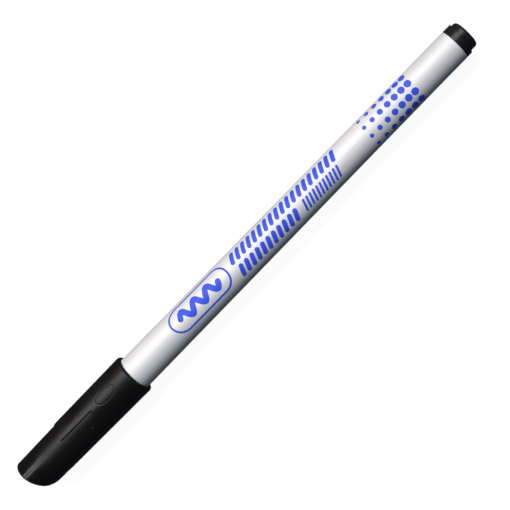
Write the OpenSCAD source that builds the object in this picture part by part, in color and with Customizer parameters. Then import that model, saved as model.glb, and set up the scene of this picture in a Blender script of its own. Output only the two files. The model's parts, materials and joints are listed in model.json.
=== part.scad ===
// Slim whiteboard marker with a tapered barrel, a pull-off cap and a bullet nib.
// Millimetres, +Z up. The marker lies along X: closed end of the cap towards -X, end plug
// towards +X, flat side of the cap's raised panel towards +Y. The origin is at the bottom
// centre of the bounding box, straight below the middle of the marker's length.
// Every sub-part is drawn standing on the cap's closed end, its axis along Z, and is then
// laid down by along_axis(). Stations are distances from the cap's closed end.

/* [Overall] */
// Length of the capped marker
total_length = 150; // [148:0.5:156]

/* [Barrel] */
// Barrel diameter where it leaves the cap
barrel_front_d = 9.17; // [9.1:0.01:9.2]
// Barrel diameter of the straight seat at the tail
barrel_tail_d = 8.16; // [8.14:0.01:8.3]
// Length of the barrel's front that the cap covers
cap_seat_length = 11.3; // [10.8:0.1:11.8]
// Length of the straight seat at the tail
tail_seat_length = 12; // [10:1:14]
// Bore diameter at the front, where the nib holder is pressed in
front_bore_d = 7.6; // [7.5:0.05:7.7]
// Bore diameter at the tail, where the end plug is pressed in
tail_bore_d = 6.7; // [6.65:0.05:6.8]
// Number of ribs inside the barrel that hold the reservoir centred
barrel_ribs = 4; // [3:1:6]

/* [Cap] */
// Length of the cap
cap_length = 37.8; // [37:0.1:39]
// Outer diameter at the closed end
cap_end_d = 10.2; // [10.1:0.01:10.3]
// Outer diameter at the rim
cap_rim_d = 11.12; // [11:0.01:11.2]
// Diameter across the start of the raised panel
panel_start_d = 11.04; // [10.9:0.01:11.1]
// Diameter across the end of the raised panel, at the rim
panel_end_d = 11.18; // [11.14:0.01:11.3]
// Distance of the panel's step from the closed end
panel_start = 14.2; // [13:0.1:16]
// Half width of the raised panel, as an angle
panel_half_angle = 76; // [60:1:80]
// Running clearance between cap and barrel, on the radius
cap_clearance = 0.055; // [0.03:0.005:0.09]

/* [End plug] */
// Diameter of the plug's flange
plug_flange_d = 8.12; // [8:0.01:8.14]
// Length of the plug's flange, at the axis
plug_flange_length = 1.9; // [1.7:0.05:2]
// Slope of the flange's end face, which leaves the flange longest on its +Y side
plug_flange_slope = 6; // [0:1:8]
// Diameter of the plug's stepped end
plug_end_d = 7.23; // [7:0.01:7.4]
// Length of the plug's stepped end, at the axis
plug_end_length = 1.8; // [1.6:0.05:2]

/* [Nib] */
// Diameter of the fibre nib
nib_d = 2.5; // [2.2:0.1:2.8]
// Length of nib that shows in front of the holder
nib_reach = 4.8; // [4:0.1:5]
// Diameter of the holder's neck, which the cap seals on
neck_d = 5.2; // [5:0.1:5.4]

/* [Reservoir] */
// Diameter of the fibre reservoir
reservoir_d = 6; // [5.8:0.1:6]
// Thickness of the film wrapped round the reservoir
film_thickness = 0.12; // [0.1:0.01:0.14]

/* [Hidden] */

$fn = 96;
overshoot = 1;        // how far a cutter runs past the face that it opens
axis_height = cap_rim_d / 2;

// Radii
front_r = barrel_front_d / 2;
tail_r = barrel_tail_d / 2;
front_bore_r = front_bore_d / 2;
tail_bore_r = tail_bore_d / 2;
cap_bore_r = front_r + cap_clearance;
cap_end_r = cap_end_d / 2;
cap_rim_r = cap_rim_d / 2;
neck_r = neck_d / 2;
nib_r = nib_d / 2;
reservoir_r = reservoir_d / 2;
film_r = reservoir_r + film_thickness;

// Stations along the barrel
barrel_start = cap_length - cap_seat_length;
barrel_end = total_length - plug_flange_length - plug_end_length;
tail_seat_start = barrel_end - tail_seat_length;
holder_socket_length = 7.5;
holder_socket_end = barrel_start + holder_socket_length;
plug_socket_length = 7;
plug_socket_start = barrel_end - plug_socket_length;
rib_width = 0.5;
rib_clearance = 0.02;
ribs_start = holder_socket_end + 6;
ribs_end = plug_socket_start - 8;

// Cap
rim_chamfer = 0.8;
rim_lip = 0.06;                 // flat ring left inside the rim's chamfer
rim_edge = cap_length - rim_chamfer;
cap_wall = 0.95;
stop_gap = 0.05;                // gap between the cap's inner shoulder and the holder's flange
neck_room_r = 4.2;              // bore round the holder's cone
seal_bore_r = 4.1;              // bore round the inner seal
seal_bore_start = 4;
seal_bore_end = 14;
seal_ribs = 6;
seal_rib_width = 0.7;

// The closed end slopes back from its +Y edge in a wide arc, which runs into a tighter arc
// that meets the -Y side of the cap squarely.
end_arc_r = 18;
corner_arc_r = 3.85;
end_arc_y = cap_end_r;
corner_y = -(cap_end_r - corner_arc_r);
corner_x = end_arc_r - sqrt(pow(end_arc_r - corner_arc_r, 2) - pow(end_arc_y - corner_y, 2));
corner_angle = atan2(end_arc_y - corner_y, end_arc_r - corner_x);

// Nib holder
flange_thickness = 1.2;
flange_front = barrel_start - flange_thickness;
nib_tip = 9;
neck_front = nib_tip + nib_reach;
neck_end = 20;
cone_front_r = 3.1;
cone_back_r = 4;
nose_chamfer = 0.5;
cup_r = film_r + 0.02;          // pocket in the back of the holder that takes the reservoir
cup_start = holder_socket_end - 4;
vent_width = 0.8;
vent_depth = 0.35;

// Nib
nib_taper = 1.3;                // length over which the nib narrows to its round point
nib_point_r = 0.8;
nib_insert = 6;                 // depth that the nib's tail sits in the reservoir

// Reservoir
reservoir_start = cup_start;
reservoir_end = plug_socket_start - 3.5;
nib_tail = reservoir_start + nib_insert;

// End plug
plug_wall = 0.9;
plug_stem_r = 2.8;
plug_stem_bore_r = 2;
plug_end_round = 0.8;

// Inner seal
seal_outer_r = 3.35;
seal_bottom = 1;
seal_start = 4.4;
seal_lip_start = 17.2;
seal_end = 18.4;
seal_lip_r = 4.15;
seal_clearance = 0.06;

// Lays a sub-part down from the Z axis onto the marker's own axis
module along_axis() {
    translate([-total_length / 2, 0, axis_height]) rotate([0, 90, 0]) children();
}

// Turned shape from a list of [radius, station] points
module turned(points) {
    rotate_extrude() polygon(points);
}

// Straight round bar between two stations
module bar(radius, start, end) {
    translate([0, 0, start]) cylinder(r = radius, h = end - start);
}

// Radial ribs of one width, from the axis out to a radius, between two stations
module ribs(count, width, radius, start, end) {
    for (i = [0 : count - 1])
        rotate([0, 0, i * 360 / count])
            translate([0, -width / 2, start]) cube([radius, width, end - start]);
}

// Tapered white tube that holds everything, with a straight seat for the cap in front,
// a straight seat at the tail, and inner ribs that keep the reservoir centred
module barrel() {
    color("#f2f2f4") along_axis() {
        difference() {
            turned([[0, barrel_start], [front_r, barrel_start], [front_r, cap_length],
                    [tail_r, tail_seat_start], [tail_r, barrel_end], [0, barrel_end]]);
            turned([[0, barrel_start - overshoot], [front_bore_r, barrel_start - overshoot],
                    [front_bore_r, holder_socket_end], [tail_bore_r, plug_socket_start],
                    [tail_bore_r, barrel_end + overshoot], [0, barrel_end + overshoot]]);
        }
        difference() {
            ribs(barrel_ribs, rib_width, front_bore_r, ribs_start, ribs_end);
            bar(film_r + rib_clearance, ribs_start - overshoot, ribs_end + overshoot);
        }
    }
}

// Stepped nose that is pressed into the barrel's front: neck, cone, flange and socket, with
// a bore for the nib, a pocket for the reservoir and two vent grooves
module nib_holder() {
    color("#e9e9ec") along_axis() difference() {
        turned([[0, neck_front], [neck_r - nose_chamfer, neck_front],
                [neck_r, neck_front + nose_chamfer], [neck_r, neck_end],
                [cone_front_r, neck_end], [cone_back_r, flange_front],
                [front_r, flange_front], [front_r, barrel_start],
                [front_bore_r, barrel_start], [front_bore_r, holder_socket_end],
                [0, holder_socket_end]]);
        bar(nib_r, neck_front - overshoot, holder_socket_end + overshoot);
        bar(cup_r, cup_start, holder_socket_end + overshoot);
        for (side = [-1, 1])
            translate([side * front_bore_r - vent_depth, -vent_width / 2, barrel_start])
                cube([2 * vent_depth, vent_width, holder_socket_length + overshoot]);
    }
}

// Fibre rod with a tapered, rounded writing point; its tail reaches into the reservoir
module nib() {
    point_centre = nib_tip + nib_point_r;
    color("#26262b") along_axis() union() {
        translate([0, 0, point_centre]) sphere(r = nib_point_r);
        turned([[0, point_centre], [nib_point_r, point_centre],
                [nib_r, point_centre + nib_taper], [nib_r, nib_tail], [0, nib_tail]]);
    }
}

// Fibre rod that stores the ink, with a blind hole that the nib's tail fills
module ink_reservoir() {
    color("#3a3a46") along_axis() difference() {
        bar(reservoir_r, reservoir_start, reservoir_end);
        bar(nib_r, reservoir_start - overshoot, nib_tail);
    }
}

// Thin film wrapped round the reservoir
module reservoir_film() {
    color("#dfe7ee") along_axis() difference() {
        bar(film_r, reservoir_start, reservoir_end);
        bar(reservoir_r, reservoir_start - overshoot, reservoir_end + overshoot);
    }
}

// Plug that closes the barrel's tail: stepped end, flange with a sloping end face, hollow
// socket and a stem that stops the reservoir from sliding back
module end_plug() {
    round_start = total_length - plug_end_round;
    round_r = plug_end_d / 2 - plug_end_round;
    flange_r = plug_flange_d / 2;
    flange_end = barrel_end + plug_flange_length;
    color("#1b1b1d") along_axis() difference() {
        union() {
            turned([[0, reservoir_end], [plug_stem_r, reservoir_end],
                    [plug_stem_r, plug_socket_start], [tail_bore_r, plug_socket_start],
                    [tail_bore_r, barrel_end], [plug_end_d / 2, barrel_end],
                    [plug_end_d / 2, round_start], [0, round_start]]);
            difference() {
                bar(flange_r, barrel_end, flange_end + flange_r);
                translate([0, 0, flange_end]) rotate([plug_flange_slope, 0, 0])
                    translate([-plug_flange_d, -plug_flange_d, 0])
                        cube([2 * plug_flange_d, 2 * plug_flange_d, plug_flange_d]);
            }
            rotate_extrude() translate([round_r, round_start]) circle(r = plug_end_round);
            bar(round_r, round_start - overshoot, total_length);
        }
        bar(plug_stem_bore_r, reservoir_end - overshoot, barrel_end);
    }
}

// Kept side of the closed end, in the plane of the axis and Y
module end_outline() {
    reach = cap_length + overshoot;
    tangent = [end_arc_r - end_arc_r * cos(corner_angle),
               end_arc_y - end_arc_r * sin(corner_angle)];
    difference() {
        union() {
            translate([end_arc_r, end_arc_y]) circle(r = end_arc_r, $fn = 256);
            translate([end_arc_r, -2 * cap_end_r]) square([reach, 4 * cap_end_r]);
        }
        difference() {
            polygon([tangent, [corner_x, corner_y], [corner_x, -2 * cap_end_r],
                     [-overshoot, -2 * cap_end_r], [-overshoot, tangent[1]]]);
            translate([corner_x, corner_y]) circle(r = corner_arc_r);
        }
        translate([corner_x, -3 * cap_end_r]) square([reach, 1.5 * cap_end_r]);
    }
}

// Outside of the cap: a slow cone with a chamfered rim and the sloping, rounded closed end
module cap_outside() {
    intersection() {
        turned([[0, 0], [cap_end_r, 0], [cap_rim_r, rim_edge],
                [cap_bore_r + rim_lip, cap_length], [0, cap_length]]);
        rotate([0, -90, 0])
            linear_extrude(height = 4 * cap_end_r, center = true) end_outline();
    }
}

// Raised panel on the +Y side, from its step to the rim's edge
module cap_panel() {
    wedge = 2 * cap_rim_d;
    intersection() {
        turned([[0, panel_start], [panel_start_d / 2, panel_start],
                [panel_end_d / 2, rim_edge], [0, rim_edge]]);
        linear_extrude(height = cap_length)
            polygon([[0, 0],
                     [wedge * sin(panel_half_angle), wedge * cos(panel_half_angle)],
                     [0, wedge],
                     [-wedge * sin(panel_half_angle), wedge * cos(panel_half_angle)]]);
    }
}

// Pull-off cap, bored for the barrel, the holder's cone and the inner seal, with ribs that
// hold the seal
module cap_shell() {
    color("#1b1b1d") along_axis() union() {
        difference() {
            union() {
                cap_outside();
                cap_panel();
            }
            bar(cap_bore_r, flange_front - stop_gap, cap_length + overshoot);
            bar(neck_room_r, seal_bore_end, cap_length);
            bar(seal_bore_r, seal_bore_start, seal_bore_end + overshoot);
        }
        difference() {
            ribs(seal_ribs, seal_rib_width, seal_bore_r + cap_wall / 2, seal_bore_start,
                 seal_bore_end);
            bar(seal_outer_r, seal_bore_start - overshoot, seal_bore_end + overshoot);
        }
    }
}

// Soft cup inside the cap that closes round the holder's neck and keeps the nib from drying
module cap_inner_seal() {
    color("#dcdcd6") along_axis() difference() {
        turned([[0, seal_start], [seal_outer_r, seal_start], [seal_outer_r, seal_lip_start],
                [seal_lip_r, seal_lip_start], [seal_lip_r, seal_end], [0, seal_end]]);
        bar(neck_r + seal_clearance, seal_start + seal_bottom, seal_end + overshoot);
    }
}

barrel();
nib_holder();
nib();
ink_reservoir();
reservoir_film();
end_plug();
cap_shell();
cap_inner_seal();
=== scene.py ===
"""Looks of a slim whiteboard marker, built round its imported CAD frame.

Every turned piece is described by stations, in millimetres from the cap's closed end along the
marker's axis, and by radii in millimetres. Angles round the axis start at +Y, where the middle
of the cap's raised panel is, and turn towards +Z, which is up.
"""

import json
import math

import bmesh
import bpy
import numpy as np
from mathutils import Matrix, Vector


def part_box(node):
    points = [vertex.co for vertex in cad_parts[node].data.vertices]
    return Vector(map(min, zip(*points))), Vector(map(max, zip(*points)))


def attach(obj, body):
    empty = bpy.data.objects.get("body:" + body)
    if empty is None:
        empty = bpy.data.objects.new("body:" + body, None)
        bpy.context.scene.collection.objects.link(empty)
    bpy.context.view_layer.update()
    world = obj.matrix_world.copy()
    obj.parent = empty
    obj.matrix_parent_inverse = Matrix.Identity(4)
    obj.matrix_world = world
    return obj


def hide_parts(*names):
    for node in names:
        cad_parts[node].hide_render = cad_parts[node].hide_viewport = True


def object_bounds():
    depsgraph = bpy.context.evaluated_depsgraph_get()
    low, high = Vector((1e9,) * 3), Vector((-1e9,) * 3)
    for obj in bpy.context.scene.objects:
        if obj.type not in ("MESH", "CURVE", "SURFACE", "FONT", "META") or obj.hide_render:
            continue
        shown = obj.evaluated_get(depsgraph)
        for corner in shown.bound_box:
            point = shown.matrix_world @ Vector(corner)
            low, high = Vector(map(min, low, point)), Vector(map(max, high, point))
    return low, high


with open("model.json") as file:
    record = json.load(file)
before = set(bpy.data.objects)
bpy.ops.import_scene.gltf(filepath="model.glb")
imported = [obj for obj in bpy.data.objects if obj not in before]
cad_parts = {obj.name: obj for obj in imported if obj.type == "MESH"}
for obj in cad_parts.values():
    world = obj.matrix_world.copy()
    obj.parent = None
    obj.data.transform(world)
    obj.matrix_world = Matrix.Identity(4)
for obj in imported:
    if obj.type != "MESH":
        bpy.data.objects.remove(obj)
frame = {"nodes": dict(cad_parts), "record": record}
cad_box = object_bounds()

MM = 0.001
START_X = cad_box[0].x
MIDDLE = (cad_box[0] + cad_box[1]) / 2
MOUNTS = {m["name"]: m for m in frame["record"]["mounts"]}
AXIS_Z = MOUNTS["tail_seat"]["pos_m"][2]
SEGMENTS = 192       # steps round a turned piece


# ---------------------------------------------------------------- measures from the frame

def span(node):
    """First and last station of a CAD node, in mm."""
    low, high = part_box(node)
    return (low.x - START_X) / MM, (high.x - START_X) / MM


def largest_radius(node):
    """Largest distance of a CAD node's vertices from the axis, in mm."""
    points = np.array([v.co for v in frame["nodes"][node].data.vertices], float)
    return float(np.hypot(points[:, 1], points[:, 2] - AXIS_Z).max()) / MM


BARREL_START, BARREL_END = span("barrel")
CAP_END = span("cap_shell")[1]
TAIL_END = span("end_plug")[1]
PLUG_START = span("end_plug")[0]
FRONT_R = largest_radius("barrel")
TAIL_R = MOUNTS["tail_seat"]["dims"]["r_mm"]
TAIL_SEAT_START = BARREL_END - 12    # where the taper ends in the straight seat
NIB_START, NIB_END = span("nib")
NIB_R = largest_radius("nib")
HOLDER_START, HOLDER_END = span("nib_holder")
SEAL_START, SEAL_END = span("cap_inner_seal")
RESERVOIR_START, RESERVOIR_END = span("ink_reservoir")
RESERVOIR_R = largest_radius("ink_reservoir")
FILM_R = largest_radius("reservoir_film")
PLUG_SEAT = 7.0      # length of the plug's press fit in the barrel's tail


def barrel_radius(station):
    """Outside radius of the barrel behind the cap, in mm."""
    share = (station - CAP_END) / (TAIL_SEAT_START - CAP_END)
    return FRONT_R + (TAIL_R - FRONT_R) * min(max(share, 0.0), 1.0)


# ---------------------------------------------------------------- mesh helpers

def place(station, radius, angle):
    """A point in the part's frame, in metres, from a station, a radius and an angle."""
    return Vector((START_X + station * MM, radius * math.cos(angle) * MM,
                   AXIS_Z + radius * math.sin(angle) * MM))


def rounded(corners, steps=6):
    """A profile of (station, radius) points from (station, radius, rounding) corners."""
    points = []
    for i, (s, r, rounding) in enumerate(corners):
        if rounding <= 0 or i in (0, len(corners) - 1):
            points.append((s, r))
            continue
        here = Vector((s, r))
        back = Vector(corners[i - 1][:2]) - here
        ahead = Vector(corners[i + 1][:2]) - here
        half = back.angle(ahead) / 2
        reach = min(rounding / math.tan(half), back.length / 2, ahead.length / 2)
        radius = reach * math.tan(half)
        centre = here + (back.normalized() + ahead.normalized()).normalized() * (
            radius / math.sin(half))
        first = here + back.normalized() * reach - centre
        last = here + ahead.normalized() * reach - centre
        turn = first.angle_signed(last)
        for k in range(steps + 1):
            arm = Matrix.Rotation(-turn * k / steps, 2) @ first
            points.append(tuple(centre + arm))
    return points


def split_step(profile, row, count):
    """A profile with the step after one of its rows split into equal parts."""
    (s, r), (next_s, next_r) = profile[row:row + 2]
    between = [(s + (next_s - s) * i / count, r + (next_r - r) * i / count)
               for i in range(1, count)]
    return profile[:row + 1] + between + profile[row + 1:]


def shade(mesh, sharp_degrees=35):
    """Smooth shading, with the edges that turn by more than an angle left sharp."""
    bm = bmesh.new()
    bm.from_mesh(mesh)
    bmesh.ops.recalc_face_normals(bm, faces=bm.faces)
    for face in bm.faces:
        face.smooth = True
    for edge in bm.edges:
        if len(edge.link_faces) == 2:
            edge.smooth = edge.calc_face_angle(0) < math.radians(sharp_degrees)
    bm.to_mesh(mesh)
    bm.free()


def make_piece(name, bm, material, body, nodes=()):
    """Turns a bmesh into a piece that rides on a body, and stands for CAD nodes."""
    mesh = bpy.data.meshes.new(name)
    bm.to_mesh(mesh)
    bm.free()
    shade(mesh)
    piece = bpy.data.objects.new(name, mesh)
    bpy.context.scene.collection.objects.link(piece)
    mesh.materials.append(material)
    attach(piece, body)
    if nodes:
        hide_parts(*nodes)
    return piece


def add_rings(bm, rings, closed=False):
    """Joins rings of vertices with faces. A ring of one vertex is a pole."""
    pairs = list(zip(rings, rings[1:]))
    if closed:
        pairs.append((rings[-1], rings[0]))
    for a, b in pairs:
        count = max(len(a), len(b))
        for i in range(count):
            j = (i + 1) % count
            if len(a) == 1:
                bm.faces.new((a[0], b[i], b[j]))
            elif len(b) == 1:
                bm.faces.new((a[i], b[0], a[j]))
            else:
                bm.faces.new((a[i], b[i], b[j], a[j]))


def turned(profile, shape=None, closed=False):
    """A bmesh of a profile turned about the axis. shape(station, radius, angle) changes radii."""
    bm = bmesh.new()
    rings = []
    for station, radius in profile:
        if radius < 1e-6:
            rings.append([bm.verts.new(place(station, 0, 0))])
            continue
        ring = []
        for i in range(SEGMENTS):
            angle = 2 * math.pi * i / SEGMENTS
            r = shape(station, radius, angle) if shape else radius
            ring.append(bm.verts.new(place(station, r, angle)))
        rings.append(ring)
    add_rings(bm, rings, closed)
    return bm


def smooth_step(low, high, value):
    """0 below low, 1 above high, and a smooth curve between them."""
    t = np.clip((value - low) / (high - low), 0.0, 1.0)
    return t * t * (3 - 2 * t)


# ---------------------------------------------------------------- material helpers

def node(tree, kind, inputs=None, **settings):
    """Adds a shader node; inputs hold plain values or sockets to link."""
    made = tree.nodes.new("ShaderNode" + kind)
    for key, value in settings.items():
        setattr(made, key, value)
    for key, value in (inputs or {}).items():
        if isinstance(value, bpy.types.NodeSocket):
            tree.links.new(value, made.inputs[key])
        else:
            made.inputs[key].default_value = value
    return made


def new_material(name):
    """An empty node material with a principled shader: (material, tree, shader)."""
    material = bpy.data.materials.new(name)
    material.use_nodes = True
    tree = material.node_tree
    return material, tree, tree.nodes["Principled BSDF"]


def coordinates(tree, scale):
    """The part's own coordinates, stretched by a scale along X, Y and Z."""
    inputs = {"Vector": node(tree, "TexCoord").outputs["Object"], "Scale": scale}
    return node(tree, "Mapping", inputs).outputs["Vector"]


def noise(tree, scale, detail=3.0, roughness=0.55):
    """Noise with one scale, or with a scale along X, Y and Z, in cells per metre."""
    scale = scale if isinstance(scale, tuple) else (scale,) * 3
    return node(tree, "TexNoise", {"Vector": coordinates(tree, scale), "Scale": 1.0,
                                   "Detail": detail, "Roughness": roughness}).outputs["Fac"]


def ramp(tree, value, low, high, out_low=0.0, out_high=1.0):
    """Maps a value from one range onto another, clamped."""
    return node(tree, "MapRange", {"Value": value, "From Min": low, "From Max": high,
                                   "To Min": out_low, "To Max": out_high}).outputs["Result"]


def blend_colour(tree, factor, first, second):
    """Colour between two colours, by a factor."""
    made = node(tree, "Mix", data_type="RGBA")
    for socket, value in ((made.inputs[0], factor), (made.inputs[6], first),
                          (made.inputs[7], second)):
        if isinstance(value, bpy.types.NodeSocket):
            tree.links.new(value, socket)
        else:
            socket.default_value = value
    return made.outputs[2]


def bumps(tree, shader, layers):
    """Stacks bump layers of (height, strength, distance in mm) onto the shader's normal.

    A layer with a negative strength is engraved instead of raised.
    """
    normal = None
    for height, strength, distance in layers:
        inputs = {"Height": height, "Strength": abs(strength), "Distance": distance * MM}
        if normal is not None:
            inputs["Normal"] = normal
        normal = node(tree, "Bump", inputs, invert=strength < 0).outputs["Normal"]
    tree.links.new(normal, shader.inputs["Normal"])


def combine(tree, operation, first, second):
    """Two values added, multiplied or compared, as a Math node's operation says."""
    return node(tree, "Math", {0: first, 1: second}, operation=operation).outputs[0]


def feed(tree, shader, colour, roughness, layers):
    """Gives the shader its colour, its roughness and its layers of bumps."""
    tree.links.new(colour, shader.inputs["Base Color"])
    tree.links.new(roughness, shader.inputs["Roughness"])
    bumps(tree, shader, layers)


# ---------------------------------------------------------------- materials

def white_plastic():
    """Satin, slightly pearly white plastic with drawing lines, fine scratches and scuffs."""
    material, tree, shader = new_material("white_plastic")
    patches = noise(tree, 60)
    draw_lines = noise(tree, (25, 1800, 1800), detail=2)
    grain = noise(tree, 5200, detail=2)
    scratches = ramp(tree, noise(tree, (120, 2600, 2600), detail=1), 0.72, 0.78)
    scuffs = ramp(tree, noise(tree, (900, 420, 420), detail=4, roughness=0.7), 0.73, 0.81)
    marks = combine(tree, "MAXIMUM", scratches, scuffs)
    clean = blend_colour(tree, ramp(tree, patches, 0.35, 0.65),
                         (0.83, 0.835, 0.84, 1), (0.86, 0.862, 0.865, 1))
    colour = blend_colour(tree, marks, clean, (0.80, 0.81, 0.82, 1))
    satin = ramp(tree, patches, 0.3, 0.7, 0.58, 0.64)
    roughness = combine(tree, "ADD", satin, ramp(tree, marks, 0.0, 1.0, 0.0, 0.15))
    feed(tree, shader, colour, roughness, [
        (draw_lines, 0.06, 0.02), (grain, 0.08, 0.004),
        (scratches, -0.25, 0.006), (scuffs, -0.15, 0.008)])
    shader.inputs["Metallic"].default_value = 0.22
    return material


def black_plastic(name, dark, light, rough):
    """Satin black polypropylene: fine mould grain, flow marks, dust and rubbed edges.

    dark and light are the ends of its colour variation, and rough is its middle roughness.
    """
    material, tree, shader = new_material(name)
    flow = noise(tree, (90, 260, 260), detail=3)
    grain = noise(tree, 4200, detail=3)
    dimples = noise(tree, 1100, detail=2)
    dust = ramp(tree, noise(tree, 2400, detail=1), 0.775, 0.81)
    polish = node(tree, "Attribute", attribute_name="polish").outputs["Fac"]
    worn = node(tree, "Attribute", attribute_name="wear").outputs["Fac"]
    rubbed = combine(tree, "MULTIPLY", worn, ramp(tree, dimples, 0.4, 0.7))
    clean = blend_colour(tree, ramp(tree, flow, 0.3, 0.7), dark, light)
    edged = blend_colour(tree, rubbed, clean, (0.05, 0.05, 0.052, 1))
    colour = blend_colour(tree, dust, edged, (0.09, 0.088, 0.085, 1))
    satin = ramp(tree, flow, 0.3, 0.7, rough - 0.04, rough + 0.04)
    matt = ramp(tree, combine(tree, "MAXIMUM", dust, rubbed), 0.0, 1.0, 0.0, 0.2)
    smoother = ramp(tree, polish, 0.0, 1.0, 0.0, -0.2)
    roughness = combine(tree, "ADD", satin, combine(tree, "ADD", matt, smoother))
    feed(tree, shader, colour, roughness, [
        (dimples, 0.09, 0.02), (grain, 0.14, 0.006), (dust, 0.2, 0.01)])
    shader.inputs["Specular IOR Level"].default_value = 0.3
    return material


def blue_ink():
    """Screen-printed blue ink film: slightly uneven cover with a few pinholes."""
    material, tree, shader = new_material("blue_ink")
    cover = noise(tree, 1500, detail=3)
    pinholes = ramp(tree, noise(tree, 6000, detail=0), 0.80, 0.84)
    film = blend_colour(tree, ramp(tree, cover, 0.3, 0.7), (0.042, 0.092, 0.78, 1),
                        (0.052, 0.112, 0.86, 1))
    colour = blend_colour(tree, pinholes, film, (0.3, 0.34, 0.8, 1))
    feed(tree, shader, colour, ramp(tree, cover, 0.3, 0.7, 0.48, 0.58), [(cover, 0.1, 0.006)])
    shader.inputs["Specular IOR Level"].default_value = 0.25
    return material


def holder_plastic():
    """Satin white plastic of the nib holder, tinted by ink near its front."""
    material, tree, shader = new_material("holder_plastic")
    flow = noise(tree, (120, 400, 400))
    grain = noise(tree, 4800, detail=2)
    stain = node(tree, "Attribute", attribute_name="stain").outputs["Fac"]
    blotches = combine(tree, "MULTIPLY", stain, ramp(tree, noise(tree, 1400), 0.35, 0.65))
    clean = blend_colour(tree, ramp(tree, flow, 0.3, 0.7), (0.74, 0.745, 0.75, 1),
                         (0.79, 0.79, 0.795, 1))
    colour = blend_colour(tree, blotches, clean, (0.03, 0.03, 0.036, 1))
    feed(tree, shader, colour, ramp(tree, flow, 0.3, 0.7, 0.36, 0.46), [(grain, 0.2, 0.006)])
    return material


def nib_fibre():
    """Bonded fibre soaked with black ink: long fine strands, matt where it is dry."""
    material, tree, shader = new_material("nib_fibre")
    strands = noise(tree, (700, 9000, 9000), detail=2)
    soak = noise(tree, 900, detail=3)
    colour = blend_colour(tree, ramp(tree, strands, 0.3, 0.7), (0.006, 0.006, 0.008, 1),
                          (0.035, 0.035, 0.042, 1))
    feed(tree, shader, colour, ramp(tree, soak, 0.3, 0.7, 0.45, 0.8), [(strands, 0.6, 0.03)])
    return material


def reservoir_fibre():
    """Bundled crimped fibre of the reservoir, dark with ink and paler in dry streaks."""
    material, tree, shader = new_material("reservoir_fibre")
    strands = noise(tree, (260, 6000, 6000), detail=3)
    soak = noise(tree, (60, 500, 500), detail=2)
    wet = blend_colour(tree, ramp(tree, strands, 0.3, 0.7), (0.008, 0.008, 0.012, 1),
                       (0.05, 0.05, 0.065, 1))
    colour = blend_colour(tree, ramp(tree, soak, 0.5, 0.75), wet, (0.16, 0.16, 0.18, 1))
    feed(tree, shader, colour, ramp(tree, strands, 0.3, 0.7, 0.6, 0.9), [(strands, 0.8, 0.05)])
    return material


def wrapping_film():
    """Thin clear film with fine wrinkles along the reservoir."""
    material, tree, shader = new_material("wrapping_film")
    wrinkles = noise(tree, (180, 1500, 1500), detail=3)
    colour = blend_colour(tree, wrinkles, (0.80, 0.86, 0.90, 1), (0.9, 0.94, 0.96, 1))
    roughness = ramp(tree, wrinkles, 0.3, 0.7, 0.08, 0.22)
    feed(tree, shader, colour, roughness, [(wrinkles, 0.4, 0.02)])
    shader.inputs["Transmission Weight"].default_value = 0.75
    shader.inputs["IOR"].default_value = 1.49
    return material


def seal_plastic():
    """Soft natural polyethylene of the inner seal, slightly waxy."""
    material, tree, shader = new_material("seal_plastic")
    cloud = noise(tree, (200, 500, 500), detail=3)
    grain = noise(tree, 4000, detail=2)
    colour = blend_colour(tree, ramp(tree, cloud, 0.3, 0.7), (0.62, 0.62, 0.58, 1),
                          (0.70, 0.70, 0.66, 1))
    feed(tree, shader, colour, ramp(tree, cloud, 0.3, 0.7, 0.42, 0.52), [(grain, 0.15, 0.008)])
    shader.inputs["Subsurface Weight"].default_value = 0.25
    shader.inputs["Subsurface Scale"].default_value = 0.0015
    return material


WHITE = white_plastic()
CAP_BLACK = black_plastic("cap_black", (0.0040, 0.0036, 0.0037, 1),
                          (0.0065, 0.0058, 0.0058, 1), 0.40)
# The plug's black is the cap's black made lighter and bluer, as painted cool light for the
# brighter, cooler light on the tail end.
PLUG_BLACK_PAINTED_COOL_LIGHT = black_plastic("plug_black_painted_cool_light", (0.0105, 0.0098, 0.0125, 1),
                           (0.0135, 0.0128, 0.0160, 1), 0.35)
INK = blue_ink()


def paint_attribute(piece, name, value_at):
    """Stores value_at(station, radius, angle) on each vertex, for the material to read."""
    attribute = piece.data.attributes.new(name, "FLOAT", "POINT")
    values = []
    for vertex in piece.data.vertices:
        y, z = vertex.co.y / MM, (vertex.co.z - AXIS_Z) / MM
        values.append(value_at((vertex.co.x - START_X) / MM, math.hypot(y, z),
                               math.atan2(z, y)))
    attribute.data.foreach_set("value", values)


# ---------------------------------------------------------------- barrel, holder, nib, ink

def make_barrel():
    """Tapered white tube with a bead that the cap clicks over, and its moulded bore."""
    bead, bead_r = BARREL_START + 2.6, FRONT_R + 0.035
    wall, tail_wall = 0.76, 0.72
    outer = rounded([
        (BARREL_START, FRONT_R - 0.4, 0), (BARREL_START, FRONT_R, 0.15),
        (bead - 0.5, FRONT_R, 0.3), (bead - 0.2, bead_r, 0.15),
        (bead + 0.2, bead_r, 0.15), (bead + 0.5, FRONT_R, 0.3),
        (CAP_END, FRONT_R, 0), (TAIL_SEAT_START, TAIL_R, 0), (BARREL_END, TAIL_R, 0.06),
        (BARREL_END, TAIL_R - 0.3, 0)])
    inner = [(BARREL_END, TAIL_R - tail_wall), (BARREL_END - PLUG_SEAT, TAIL_R - tail_wall),
             (HOLDER_END, FRONT_R - wall), (BARREL_START, FRONT_R - wall)]
    return make_piece("barrel_tube", turned(outer + inner, closed=True), WHITE, "pen",
                      ["barrel"])


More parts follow.
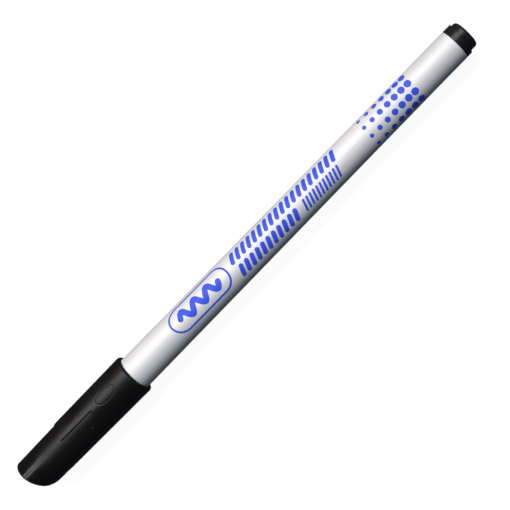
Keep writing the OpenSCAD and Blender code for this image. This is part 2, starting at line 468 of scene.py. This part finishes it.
def make_holder():
    """Stepped nose with a sealing bead on its neck, fluted cone, socket and vent grooves."""
    neck_front, neck_end, neck_r = HOLDER_START, 20.0, 2.56
    bead, bead_r = neck_front + 2.2, 2.6
    cone_r, cone_end_r, cone_end = 3.1, 4.0, BARREL_START - 1.2
    socket_r, nib_bore_r = FRONT_R - 0.785, NIB_R + 0.02
    cup_r, cup_start = FILM_R + 0.04, HOLDER_END - 4
    outer = rounded([
        (neck_front, nib_bore_r, 0), (neck_front, neck_r - 0.46, 0.15),
        (neck_front + 0.5, neck_r, 0.3), (bead - 0.5, neck_r, 0.2), (bead, bead_r, 0.4),
        (bead + 0.5, neck_r, 0.2), (neck_end, neck_r, 0.25), (neck_end, cone_r, 0.3),
        (cone_end, cone_end_r, 0.3), (cone_end, FRONT_R, 0.2),
        (BARREL_START, FRONT_R, 0.08), (BARREL_START, socket_r, 0.05),
        (HOLDER_END, socket_r, 0.3), (HOLDER_END, cup_r, 0.1),
        (cup_start, cup_r, 0.1), (cup_start, nib_bore_r, 0)], steps=5)
    flutes, flute_depth, vent_depth = 8, 0.22, 0.3

    def shape(station, radius, angle):
        on_cone = smooth_step(neck_end + 0.9, neck_end + 1.6, station) * (
            1 - smooth_step(cone_end - 1.3, cone_end - 0.6, station))
        flute = smooth_step(0.55, 0.85, math.cos(flutes * angle))
        in_socket = station > BARREL_START + 0.05 and radius > socket_r - 0.4
        vent = smooth_step(0.985, 0.995, abs(math.sin(angle)))
        if radius > bead_r:
            radius -= flute_depth * on_cone * flute
        return radius - vent_depth * vent * in_socket

    def stain(station, radius, angle):
        wet = 0.5 - 0.5 * smooth_step(neck_front, neck_front + 0.9, station)
        return float(wet) if radius < bead_r + 0.1 else 0.0

    cone_row = max(i for i, (s, r) in enumerate(outer) if neck_end <= s < neck_end + 1)
    piece = make_piece("nose_holder", turned(split_step(outer, cone_row, 14), shape, closed=True),
                       holder_plastic(), "pen", ["nib_holder"])
    paint_attribute(piece, "stain", stain)
    return piece


def make_nib():
    """Bullet nib: fibre rod with a tapered, rounded point and a slightly uneven skin."""
    point_r, taper, row_gap = 0.8, 1.3, 0.2
    strands, strand_depth = 23, 0.006
    arc = [(NIB_START + point_r * (1 - math.cos(math.radians(d))),
            point_r * math.sin(math.radians(d))) for d in range(0, 78, 7)]
    shoulder = NIB_START + point_r + taper
    body = rounded([(*arc[-1], 0), (shoulder, NIB_R, 0.8), (HOLDER_START, NIB_R, 0),
                    (NIB_END, NIB_R, 0.1), (NIB_END, 0, 0)])
    bare = [(shoulder + 0.1 + row_gap * i, NIB_R)
            for i in range(int((HOLDER_START - shoulder) / row_gap))]
    tapered = [p for p in body[1:] if p[0] <= bare[0][0]]
    held = [p for p in body if p[0] >= HOLDER_START]
    profile = arc + tapered + bare + held

    def shape(station, radius, angle):
        if station > HOLDER_START - 0.3:
            return radius
        strand = math.sin(strands * angle + 1.7 * math.sin(2.1 * station))
        return radius * (1 - strand_depth * (1 + strand))

    return make_piece("writing_nib", turned(profile, shape), nib_fibre(), "pen",
                      ["nib"])


def make_reservoir():
    """Fibre reservoir with a soft, lightly corrugated surface and a blind hole for the nib."""
    edge, skin_r = 0.15, RESERVOIR_R - 0.02
    strands, strand_depth = 31, 0.015
    profile = [(NIB_END, 0), (NIB_END, NIB_R), (RESERVOIR_START, NIB_R),
               (RESERVOIR_START, RESERVOIR_R - edge), (RESERVOIR_START + edge, skin_r)]
    profile += [(RESERVOIR_START + 1 + i, skin_r)
                for i in range(int(RESERVOIR_END - RESERVOIR_START) - 1)]
    profile += [(RESERVOIR_END - edge, skin_r), (RESERVOIR_END, RESERVOIR_R - edge),
                (RESERVOIR_END, 0)]

    def shape(station, radius, angle):
        crimp = math.sin(strands * angle + 2.3 * math.sin(0.9 * station))
        return radius - strand_depth * (1 + crimp) * (radius > RESERVOIR_R - 0.1)

    return make_piece("ink_fibre_rod", turned(profile, shape), reservoir_fibre(), "pen",
                      ["ink_reservoir"])


def make_film():
    """Clear film round the reservoir, with the lap of its wrapping along one side."""
    film_r, thickness, lap_height, rows = FILM_R - 0.02, 0.05, 0.018, 60
    length = RESERVOIR_END - RESERVOIR_START
    stations = [RESERVOIR_START + length * i / rows for i in range(rows + 1)]
    outside = [(s, film_r) for s in stations]
    inside = [(s, film_r - thickness) for s in reversed(stations)]

    def shape(station, radius, angle):
        lap = smooth_step(0.0, 0.06, angle) * (1 - smooth_step(0.5, 0.9, angle))
        return radius + lap_height * lap

    return make_piece("reservoir_wrap", turned(outside + inside, shape, closed=True),
                      wrapping_film(), "pen", ["reservoir_film"])


def make_plug():
    """End plug: a flange with a slanted end face, a rounded end with a gate mark, and a bore."""
    flange_r, flange_width = largest_radius("end_plug"), 1.9
    flange_end = BARREL_END + flange_width
    flange_slope = math.tan(math.radians(6))
    end_r, end_round = 3.615, 0.7
    seat_start, seat_r, stem_r, bore_r = BARREL_END - PLUG_SEAT, 3.34, 2.8, 2.0
    dimple_floor, gate_top = TAIL_END - 0.12, TAIL_END - 0.03
    outer = rounded([
        (PLUG_START, bore_r, 0), (PLUG_START, stem_r, 0.25), (seat_start, stem_r, 0.1),
        (seat_start, seat_r, 0.35), (BARREL_END, seat_r, 0.05),
        (BARREL_END, flange_r, 0.06), (flange_end, flange_r - 0.01, 0.07),
        (flange_end, end_r, 0.06), (TAIL_END, end_r - 0.03, end_round),
        (TAIL_END, 1.0, 0.1), (dimple_floor, 0.9, 0.05), (dimple_floor, 0.45, 0.1),
        (gate_top, 0.35, 0.08), (gate_top, 0.0, 0)], steps=8)
    bore_floor = [(BARREL_END, 0.0), (BARREL_END, bore_r)]
    bm = turned(bore_floor + outer)
    for vertex in bm.verts:
        station = (vertex.co.x - START_X) / MM
        radius = math.hypot(vertex.co.y, vertex.co.z - AXIS_Z) / MM
        if abs(station - flange_end) < 0.3 and radius > end_r - 0.02:
            vertex.co.x += vertex.co.y * flange_slope

    def wear(station, radius, angle):
        at_end = smooth_step(TAIL_END - 0.9, TAIL_END - 0.25, station)
        return float(0.5 * at_end * smooth_step(2.4, 3.2, radius))

    # The plug's material carries painted cool light: a lighter, bluer copy of the cap's black.
    piece = make_piece("tail_plug", bm, PLUG_BLACK_PAINTED_COOL_LIGHT, "pen", ["end_plug"])
    paint_attribute(piece, "wear", wear)
    return piece


# ---------------------------------------------------------------- cap

CAP_END_R = 5.1                      # at the closed end
CAP_RIM_R = AXIS_Z / MM - 0.01       # at the rim, where the cap lies on the floor
RIM_EDGE = CAP_END - 0.8             # where the cone ends
RIM_ROUND_START = CAP_END - 0.66     # where the rounding of the rim starts
BORE_R = FRONT_R + 0.055

PANEL_START, PANEL_CRISP_END = 14.2, 24.2
PANEL_START_R = 5.52
PANEL_END_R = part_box("cap_shell")[1].y / MM
PANEL_EDGE = math.radians(76)        # half of the panel's width, as an angle
PANEL_EDGE_WIDTH, PANEL_FADED_WIDTH = 0.26, 5.26
EDGE_LINE_DEPTH, EDGE_LINE_OUT = 0.09, 0.16    # its depth, and its distance from the edge

RING_AT, RING_ANGLE = 30.0, math.radians(73)
RING_HALF = (3.0, 1.55)              # half its size along and across the cap
RING_DEPTH = 0.06
GATE_AT, GATE_ANGLE = 22.0, math.radians(113)
GATE_HEIGHT = 0.13
# Distances from the middle of a line or a mark at which its slope starts and ends
EDGE_LINE_SLOPE, RING_SLOPE, GATE_SLOPE = (0.05, 0.16), (0.06, 0.18), (0.22, 0.4)

SEAL_ROOM_END, SEAL_ROOM_R = 14.0, 4.1

# Seen from above, the closed end is a long arc that starts at the panel's side and slopes back
# from it, and a tighter arc round the corner away from the panel.
END_ARC_R, CORNER_ARC_R = 18.0, 3.85
CORNER_Y = -(CAP_END_R - CORNER_ARC_R)
CORNER_X = END_ARC_R - math.sqrt((END_ARC_R - CORNER_ARC_R) ** 2
                                 - (CAP_END_R - CORNER_Y) ** 2)
HEAD_CENTRE = 8.0                    # the head's rings are cast from here
HEAD_REACH = 20.0                    # longer than any ray from there to the surface


def cone_radius(station):
    """Plain outside radius of the cap, without its panel."""
    return CAP_END_R + (CAP_RIM_R - CAP_END_R) * station / RIM_EDGE


def relief(station, angle):
    """Height over the plain cone: the raised panel with its engraving, and the gate mark."""
    angle = (angle + np.pi) % (2 * np.pi) - np.pi
    radius = cone_radius(station)
    share = (station - PANEL_START) / (RIM_EDGE - PANEL_START)
    height = PANEL_START_R + (PANEL_END_R - PANEL_START_R) * share - radius
    fading = smooth_step(PANEL_CRISP_END - 0.1, PANEL_CRISP_END + 1.2, station)
    half_edge = (PANEL_EDGE_WIDTH + (PANEL_FADED_WIDTH - PANEL_EDGE_WIDTH) * fading) / 2
    inside = (PANEL_EDGE - np.abs(angle)) * radius
    panel = height * smooth_step(-half_edge, half_edge, inside) * smooth_step(
        PANEL_START - 0.05, PANEL_START + 0.07, station)
    crisp = (1 - fading) * smooth_step(PANEL_START + 0.45, PANEL_START + 0.75, station)
    edge_line = crisp * (1 - smooth_step(*EDGE_LINE_SLOPE, np.abs(inside + EDGE_LINE_OUT)))
    ring = np.hypot((station - RING_AT) / RING_HALF[0],
                    (angle - RING_ANGLE) * radius / RING_HALF[1])
    ring_line = 1 - smooth_step(*RING_SLOPE, np.abs(ring - 1) * RING_HALF[1])
    from_gate = np.hypot(station - GATE_AT, (angle - GATE_ANGLE) * radius)
    gate = 1 - smooth_step(*GATE_SLOPE, from_gate)
    return (panel - RING_DEPTH * ring_line - EDGE_LINE_DEPTH * edge_line
            + GATE_HEIGHT * gate)


def end_depth(station, y):
    """Depth below the closed end's sloping outline, in mm, inside being positive."""
    to_arc = END_ARC_R - np.hypot(station - END_ARC_R, y - CAP_END_R)
    to_corner = CORNER_ARC_R - np.hypot(station - CORNER_X, y - CORNER_Y)
    slope = np.arctan2(CAP_END_R - CORNER_Y, END_ARC_R - CORNER_X)
    past = np.arctan2(CORNER_Y - y, CORNER_X - station) > slope
    beyond = (station > CORNER_X) & (y < CORNER_Y)
    lower = np.where(beyond, y + CAP_END_R, to_corner)
    depth = np.where((past & (station <= CORNER_X)) | beyond, lower, to_arc)
    return np.where(station > END_ARC_R, 99.0, depth)


def cap_depth(station, radius, angle):
    """Depth below the cap's rounded head surface: side and end meet in a small rounding."""
    y = radius * np.cos(angle)
    side = cone_radius(station) - radius
    end = end_depth(station, y)
    edge = 0.06 + 0.26 * smooth_step(-CAP_END_R, -2.0, y)
    both = (side < edge) & (end < edge)
    corner = edge - np.hypot(edge - side, edge - end)
    return np.where(both, corner, np.minimum(side, end))


def cast(tilt, angles):
    """Distance from the head's centre to its surface along rays, by bisection."""
    near, far = np.zeros_like(angles), np.full_like(angles, HEAD_REACH)
    for _ in range(44):
        middle = (near + far) / 2
        station, radius = HEAD_CENTRE - middle * np.sin(tilt), middle * np.cos(tilt)
        inside = cap_depth(station, radius, angles) > 0
        near = np.where(inside, middle, near)
        far = np.where(inside, far, middle)
    return (near + far) / 2


def head_point(tilt, angles):
    """Stations and radii of the head's surface along rays that tilt towards the closed end."""
    hit = cast(tilt, angles)
    return HEAD_CENTRE - hit * np.sin(tilt), hit * np.cos(tilt)


def head_rings(angles):
    """Rings of (station, radius) arrays over the cap's head, from beside its pole to its side.

    They are closest together across the corner between the closed end and the side.
    """
    end_rows, corner_rows, side_rows = 26, 14, 12
    low, high = np.full_like(angles, 0.05), np.full_like(angles, 1.5)
    for _ in range(40):
        middle = (low + high) / 2
        station, radius = head_point(middle, angles)
        on_end = end_depth(station, radius * np.cos(angles)) < cone_radius(station) - radius
        high = np.where(on_end, middle, high)
        low = np.where(on_end, low, middle)
    corner = (low + high) / 2
    band, upright = math.radians(3.2), math.pi / 2
    tilts = [upright + (corner + band - upright) * k / end_rows for k in range(1, end_rows)]
    tilts += [corner + band - 2 * band * k / corner_rows for k in range(corner_rows + 1)]
    tilts += [(corner - band) * (1 - k / side_rows) for k in range(1, side_rows + 1)]
    return [head_point(tilt, angles) for tilt in tilts]


def side_stations():
    """Stations of the rings along the cap's side, dense where its relief is fine."""
    ring_start, ring_end = RING_AT - RING_HALF[0], RING_AT + RING_HALF[0]
    stretches = [
        (HEAD_CENTRE + 0.8, PANEL_START - 0.3, 0.8),        # plain side
        (PANEL_START - 0.12, PANEL_START + 0.14, 0.03),     # the panel's step
        (PANEL_START + 0.4, GATE_AT - 0.6, 0.5),
        (GATE_AT - 0.45, GATE_AT + 0.46, 0.07),             # gate mark
        (GATE_AT + 0.8, ring_start - 0.3, 0.3),
        (ring_start - 0.25, ring_end + 0.26, 0.08),         # engraved ring
        (ring_end + 0.6, RIM_EDGE - 0.25, 0.5)]
    return [s for low, high, step in stretches for s in np.arange(low, high, step)]


def cap_angles():
    """Angles round the cap, dense across the panel's edges, the engraved ring and the mark."""
    plain_count, closest = 220, 0.002
    fine = [(PANEL_EDGE - 0.035, PANEL_EDGE + 0.07, 28),
            (-PANEL_EDGE - 0.07, -PANEL_EDGE + 0.035, 28),
            (RING_ANGLE - 0.36, RING_ANGLE + 0.36, 84),
            (GATE_ANGLE - 0.08, GATE_ANGLE + 0.08, 14)]
    angles = set(np.round(np.linspace(-np.pi, np.pi, plain_count, endpoint=False), 6))
    for low, high, count in fine:
        angles |= set(np.round(np.linspace(low, high, count), 6))
    kept = []
    for angle in sorted(angles):
        if not kept or angle - kept[-1] > closest:
            kept.append(angle)
    return np.array(kept)


def make_cap():
    """The cap as one closed mesh: sloping head, relief on its side, chamfered rim and bore."""
    angles = cap_angles()
    bm = bmesh.new()
    pole = head_point(math.pi / 2, np.zeros(1))[0][0]
    rings = [[bm.verts.new(place(pole, 0, 0))]]

    def ring(stations, radii):
        rings.append([bm.verts.new(place(s, r, a))
                      for s, r, a in zip(stations, radii, angles)])

    for stations, radii in head_rings(angles):
        ring(stations, radii)
    for station in side_stations():
        ring([station] * len(angles), cone_radius(station) + relief(station, angles))
    rim = rounded([
        (RIM_EDGE - 0.3, cone_radius(RIM_EDGE - 0.3), 0), (RIM_ROUND_START, CAP_RIM_R, 0.3),
        (CAP_END - 0.34, CAP_RIM_R - 0.1, 0.3), (CAP_END - 0.09, CAP_RIM_R - 0.45, 0.3),
        (CAP_END, BORE_R + 0.12, 0.08), (CAP_END, BORE_R, 0.03), (CAP_END - 0.3, BORE_R, 0)],
        steps=5)
    for station, radius in rim:
        share = np.clip((CAP_END - station) / (CAP_END - RIM_ROUND_START), 0, 1)
        raised = relief(min(station, RIM_EDGE), angles) * share * (radius > BORE_R + 0.1)
        ring([station] * len(angles), radius + raised)
    shoulder, neck_room_r, floor = BARREL_START - 1.25, 4.2, 4.0
    bore = rounded([
        (CAP_END - 0.3, BORE_R, 0), (shoulder, BORE_R, 0.15), (shoulder, neck_room_r, 0.15),
        (SEAL_ROOM_END, neck_room_r, 0.05), (SEAL_ROOM_END, SEAL_ROOM_R, 0.05),
        (floor, SEAL_ROOM_R, 0.5), (floor, 0.0, 0)])
    for station, radius in bore[1:-1]:
        ring([station] * len(angles), [radius] * len(angles))
    rings.append([bm.verts.new(place(floor, 0, 0))])
    add_rings(bm, rings)
    piece = make_piece("cap_body", bm, CAP_BLACK, "cap", ["cap_shell"])

    def wear(station, radius, angle):
        at_rim = smooth_step(RIM_EDGE, CAP_END - 0.4, station) * (
            1 - smooth_step(CAP_END - 0.3, CAP_END - 0.1, station)) * (radius > 5)
        from_side = cone_radius(station) - radius
        from_end = end_depth(station, radius * math.cos(angle))
        at_head_edge = (station < 5) * (1 - smooth_step(0.02, 0.5, from_side)) * (
            1 - smooth_step(0.15, 0.7, from_end))
        return float(0.2 * at_rim + 0.35 * at_head_edge)

    paint_attribute(piece, "wear", wear)
    paint_attribute(piece, "polish", lambda s, r, a: float(1 - smooth_step(3, 10, s)))
    return piece


def make_seal_ribs():
    """Six ribs inside the cap that hold the inner seal, chamfered at their rear ends."""
    count, half_width, chamfer = 6, 0.35, (0.3, 0.25)
    inner, outer = 3.36, SEAL_ROOM_R + 0.2
    start, end = 4.05, SEAL_ROOM_END
    bm = bmesh.new()
    for i in range(count):
        middle = 2 * math.pi * i / count
        rows = []
        for station in (start, end - chamfer[0], end):
            lower = inner + chamfer[1] * (station == end)
            row = []
            for radius, side in ((lower, -1), (lower, 0), (lower, 1), (outer, 1), (outer, -1)):
                angle = middle + side * half_width / radius
                row.append(bm.verts.new(place(station, radius, angle)))
            rows.append(row)
        add_rings(bm, rows)
        bm.faces.new(rows[0])
        bm.faces.new(list(reversed(rows[-1])))
    return make_piece("cap_seal_ribs", bm, CAP_BLACK, "cap")


def make_seal():
    """Soft inner cup with a bell-shaped mouth and a lip that locates it in the cap."""
    outer_r, bore_r, mouth_r, lip_r = 3.35, 2.68, 2.76, 4.15
    lip_start, cup_floor = SEAL_END - 1.2, SEAL_START + 1
    profile = rounded([
        (SEAL_START, 0, 0), (SEAL_START, outer_r, 0.5), (lip_start, outer_r, 0.25),
        (lip_start, lip_r, 0.2), (SEAL_END, lip_r, 0.25), (SEAL_END, mouth_r, 0.3),
        (SEAL_END - 0.6, bore_r, 0.3), (cup_floor, bore_r, 0.6), (cup_floor, 0, 0)])
    return make_piece("seal_cup", turned(profile), seal_plastic(), "cap",
                      ["cap_inner_seal"])


# ---------------------------------------------------------------- print on the barrel

FINE = 0.28                          # largest step across a printed shape
INK_TOP, INK_BOTTOM = 0.014, -0.02   # the ink film's faces, over the barrel's surface


def along(path, step=FINE):
    """A path with extra points, so that no step is longer than a given one."""
    points = [Vector(path[0])]
    for target in path[1:]:
        start, target = points[-1].copy(), Vector(target)
        count = max(1, math.ceil((target - start).length / step))
        points += [start.lerp(target, k / count) for k in range(1, count + 1)]
    return points


def stroke(bm, path, width, closed=False):
    """Adds a flat stroke along a path of (station, arc length) points, with round ends."""
    points = along(path + [path[0]] if closed else path)
    if closed:
        points = points[:-1]
    lanes = 2 * max(1, math.ceil(width / 2 / FINE))
    rows = []
    count = len(points)
    for i, point in enumerate(points):
        back = points[i - 1] if i or closed else point
        ahead = points[(i + 1) % count] if i < count - 1 or closed else point
        heading = (ahead - back).normalized()
        side = Vector((-heading.y, heading.x))
        rows.append([bm.verts.new((*(point + side * width * (k / lanes - 0.5)), 0))
                     for k in range(lanes + 1)])
    pairs = list(zip(rows, rows[1:])) + ([(rows[-1], rows[0])] if closed else [])
    for a, b in pairs:
        for k in range(lanes):
            bm.faces.new((a[k], b[k], b[k + 1], a[k + 1]))
    if not closed:
        round_end(bm, list(reversed(rows[0])), points[0] - points[1])
        round_end(bm, rows[-1], points[-1] - points[-2])


def round_end(bm, row, heading):
    """Adds a half disc on the end row of a stroke."""
    half = len(row) // 2
    centre = row[half].co.copy()
    turn = math.atan2(heading.y, heading.x)
    steps = 10
    inner = None
    for k in range(1, half + 1):
        radius = (row[half + k].co - centre).length
        ring = [row[half + k]]
        for j in range(1, steps):
            angle = turn + math.pi / 2 - math.pi * j / steps
            ring.append(bm.verts.new((centre.x + radius * math.cos(angle),
                                      centre.y + radius * math.sin(angle), 0)))
        ring.append(row[half - k])
        for j in range(steps):
            if inner is None:
                bm.faces.new((row[half], ring[j + 1], ring[j]))
            else:
                bm.faces.new((inner[j], inner[j + 1], ring[j + 1], ring[j]))
        inner = ring


def disc(bm, station, arc, radius):
    """Adds a flat round dot."""
    rings, steps = max(2, math.ceil(radius / FINE)), 28
    inner = None
    centre = bm.verts.new((station, arc, 0))
    for k in range(1, rings + 1):
        ring = [bm.verts.new((station + radius * k / rings * math.cos(2 * math.pi * j / steps),
                              arc + radius * k / rings * math.sin(2 * math.pi * j / steps), 0))
                for j in range(steps)]
        for j in range(steps):
            n = (j + 1) % steps
            if inner is None:
                bm.faces.new((centre, ring[j], ring[n]))
            else:
                bm.faces.new((inner[j], ring[j], ring[n], inner[n]))
        inner = ring


def print_piece(name, bm):
    """Gives flat print its ink thickness and wraps it round the tapered barrel."""
    flat = {v: v.co.copy() for v in bm.verts}
    bmesh.ops.recalc_face_normals(bm, faces=bm.faces)
    top = list(bm.faces)
    border = [e for e in bm.edges if len(e.link_faces) == 1]
    lower = {v: bm.verts.new((v.co.x, v.co.y, INK_BOTTOM)) for v in flat}
    for edge in border:
        a, b = edge.verts
        bm.faces.new((a, b, lower[b], lower[a]))
    for face in top:
        bm.faces.new([lower[v] for v in reversed(face.verts)])
    for v in flat:
        v.co.z = INK_TOP
    for v in bm.verts:
        station, arc, height = v.co
        radius = barrel_radius(station)
        v.co = place(station, radius + height, math.pi / 2 - arc / radius)
    return make_piece(name, bm, INK, "pen")


def make_badge_print():
    """A plain rounded frame with a wavy marker stroke in it."""
    centre, half_length, half_height = Vector((62.6, 1.15)), 9.5, 3.3
    line_width, arc_steps = 0.5, 24
    waves, half_wave, wave_height, wave_width, wave_steps = 3, 6.4, 1.25, 1.5, 96
    bm = bmesh.new()
    outline = []
    for side in (1, -1):
        arc_centre = centre.x + side * (half_length - half_height)
        for k in range(arc_steps + 1):
            angle = side * math.pi / 2 - math.pi * k / arc_steps
            outline.append((arc_centre + half_height * math.cos(angle),
                            centre.y + half_height * math.sin(angle)))
    stroke(bm, outline, line_width, closed=True)
    wave = []
    for k in range(wave_steps + 1):
        share = k / wave_steps
        wave.append((centre.x - half_wave + 2 * half_wave * share,
                     centre.y + wave_height * math.sin(2 * math.pi * waves * share)))
    stroke(bm, wave, wave_width)
    return print_piece("frame_print", bm)


def make_stroke_print():
    """Two rows of slanted strokes and a group of narrow ones."""
    slant = 0.9
    # first and last station, lower and upper end of a stroke, its width, and how many
    rows = [(75.1, 108.7, 1.65, 3.75, 1.15, 19), (75.1, 93.2, -2.3, -0.25, 1.15, 11),
            (96.3, 107.3, -2.45, 0.1, 0.55, 11)]
    bm = bmesh.new()
    for first, last, low, high, width, count in rows:
        for i in range(count):
            station = first + (last - first) * i / (count - 1)
            stroke(bm, [(station - slant / 2, low), (station + slant / 2, high)], width)
    return print_piece("stroke_print", bm)


def make_dot_print():
    """Halftone dots all round the tail, growing and closing up towards the plug."""
    rows, columns, first_turn = 10, 7, 22.8
    first, gap, closing = 118.4, 2.65, 0.055
    largest, shrink, shrink_power = 1.84, 0.8, 1.8
    bm = bmesh.new()
    for row in range(rows):
        turn = math.radians(first_turn + 360 / rows * row)
        turn = (turn + math.pi) % (2 * math.pi) - math.pi
        for i in range(columns):
            station = first + gap * i - closing * i * i
            diameter = largest - shrink * (1 - i / (columns - 1)) ** shrink_power
            disc(bm, station, turn * barrel_radius(station), diameter / 2)
    return print_piece("dot_print", bm)


# ---------------------------------------------------------------- stage, light and camera

def make_stage():
    """A plain, very pale floor under the marker, lit mostly by its own material."""
    material, tree, shader = new_material("studio_paper")
    tooth = noise(tree, 900, detail=3)
    tree.links.new(blend_colour(tree, tooth, (0.13, 0.13, 0.13, 1), (0.15, 0.15, 0.15, 1)),
                   shader.inputs["Base Color"])
    shader.inputs["Roughness"].default_value = 0.9
    shader.inputs["Emission Color"].default_value = (1, 1, 1, 1)
    shader.inputs["Emission Strength"].default_value = 0.95
    half, gap = 3.0, 0.0002
    low = cad_box[0].z - gap
    corners = [(-half, -half, low), (half, -half, low), (half, half, low), (-half, half, low)]
    mesh = bpy.data.meshes.new("floor")
    mesh.from_pydata(corners, [], [(0, 1, 2, 3)])
    floor = bpy.data.objects.new("floor", mesh)
    bpy.context.scene.collection.objects.link(floor)
    mesh.materials.append(material)
    floor.visible_diffuse = False
    floor.visible_glossy = False


def area_light(name, tilt, along_x, size, power, colour):
    """A rectangular light tilted from overhead towards +Y, facing the marker's axis."""
    distance = 0.6
    offset = Vector((along_x, distance * math.sin(tilt), distance * math.cos(tilt)))
    data = bpy.data.lights.new(name, "AREA")
    data.shape = "RECTANGLE"
    data.size, data.size_y = size
    data.energy = power
    data.color = colour
    light = bpy.data.objects.new(name, data)
    light.location = MIDDLE + offset
    facing = Vector((0, -offset.y, -offset.z)).to_track_quat("-Z", "X")
    light.rotation_euler = facing.to_euler()
    bpy.context.scene.collection.objects.link(light)


def make_lights():
    """Two long soft lights on the side that the cap's panel faces, warm and cool."""
    size, along_x, power = (0.09, 0.7), -0.02, 2.5
    area_light("key_warm", math.radians(44), along_x, size, power, (1.0, 0.84, 0.70))
    area_light("key_cool", math.radians(28), along_x, size, power, (0.77, 0.88, 1.0))


def make_surround():
    """A weak, even, cool light from all round, and a white background in the picture."""
    world = bpy.data.worlds.new("surround")
    world.use_nodes = True
    tree = world.node_tree
    background = tree.nodes["Background"]
    background.inputs["Color"].default_value = (0.70, 0.83, 1.0, 1)
    background.inputs["Strength"].default_value = 0.07
    seen = node(tree, "Background", {"Color": (1, 1, 1, 1), "Strength": 1.0})
    rays = node(tree, "LightPath")
    mix = node(tree, "MixShader", {0: rays.outputs["Is Camera Ray"],
                                   1: background.outputs[0], 2: seen.outputs[0]})
    tree.links.new(mix.outputs[0], tree.nodes["World Output"].inputs["Surface"])
    bpy.context.scene.world = world


def make_camera():
    """Looks down at the marker, which runs from lower left to upper right in its view."""
    tilt, roll = math.radians(7.97), math.radians(45.72)
    from_axis = Vector((0.0392, -0.00086, 0.25089))
    data = bpy.data.cameras.new("camera")
    data.lens = 75
    data.sensor_width = 36
    data.clip_start = 0.01
    camera = bpy.data.objects.new("camera", data)
    turn = Matrix.Rotation(tilt, 4, "Y") @ Matrix.Rotation(-roll, 4, "Z")
    axis_middle = Vector((MIDDLE.x, MIDDLE.y, AXIS_Z))
    camera.matrix_world = Matrix.Translation(axis_middle + from_axis) @ turn
    bpy.context.scene.collection.objects.link(camera)
    bpy.context.scene.camera = camera


make_barrel()
make_holder()
make_nib()
make_reservoir()
make_film()
make_plug()
make_cap()
make_seal_ribs()
make_seal()
make_badge_print()
make_stroke_print()
make_dot_print()
make_stage()
make_lights()
make_surround()
make_camera()
bpy.context.scene.view_settings.view_transform = "Standard"
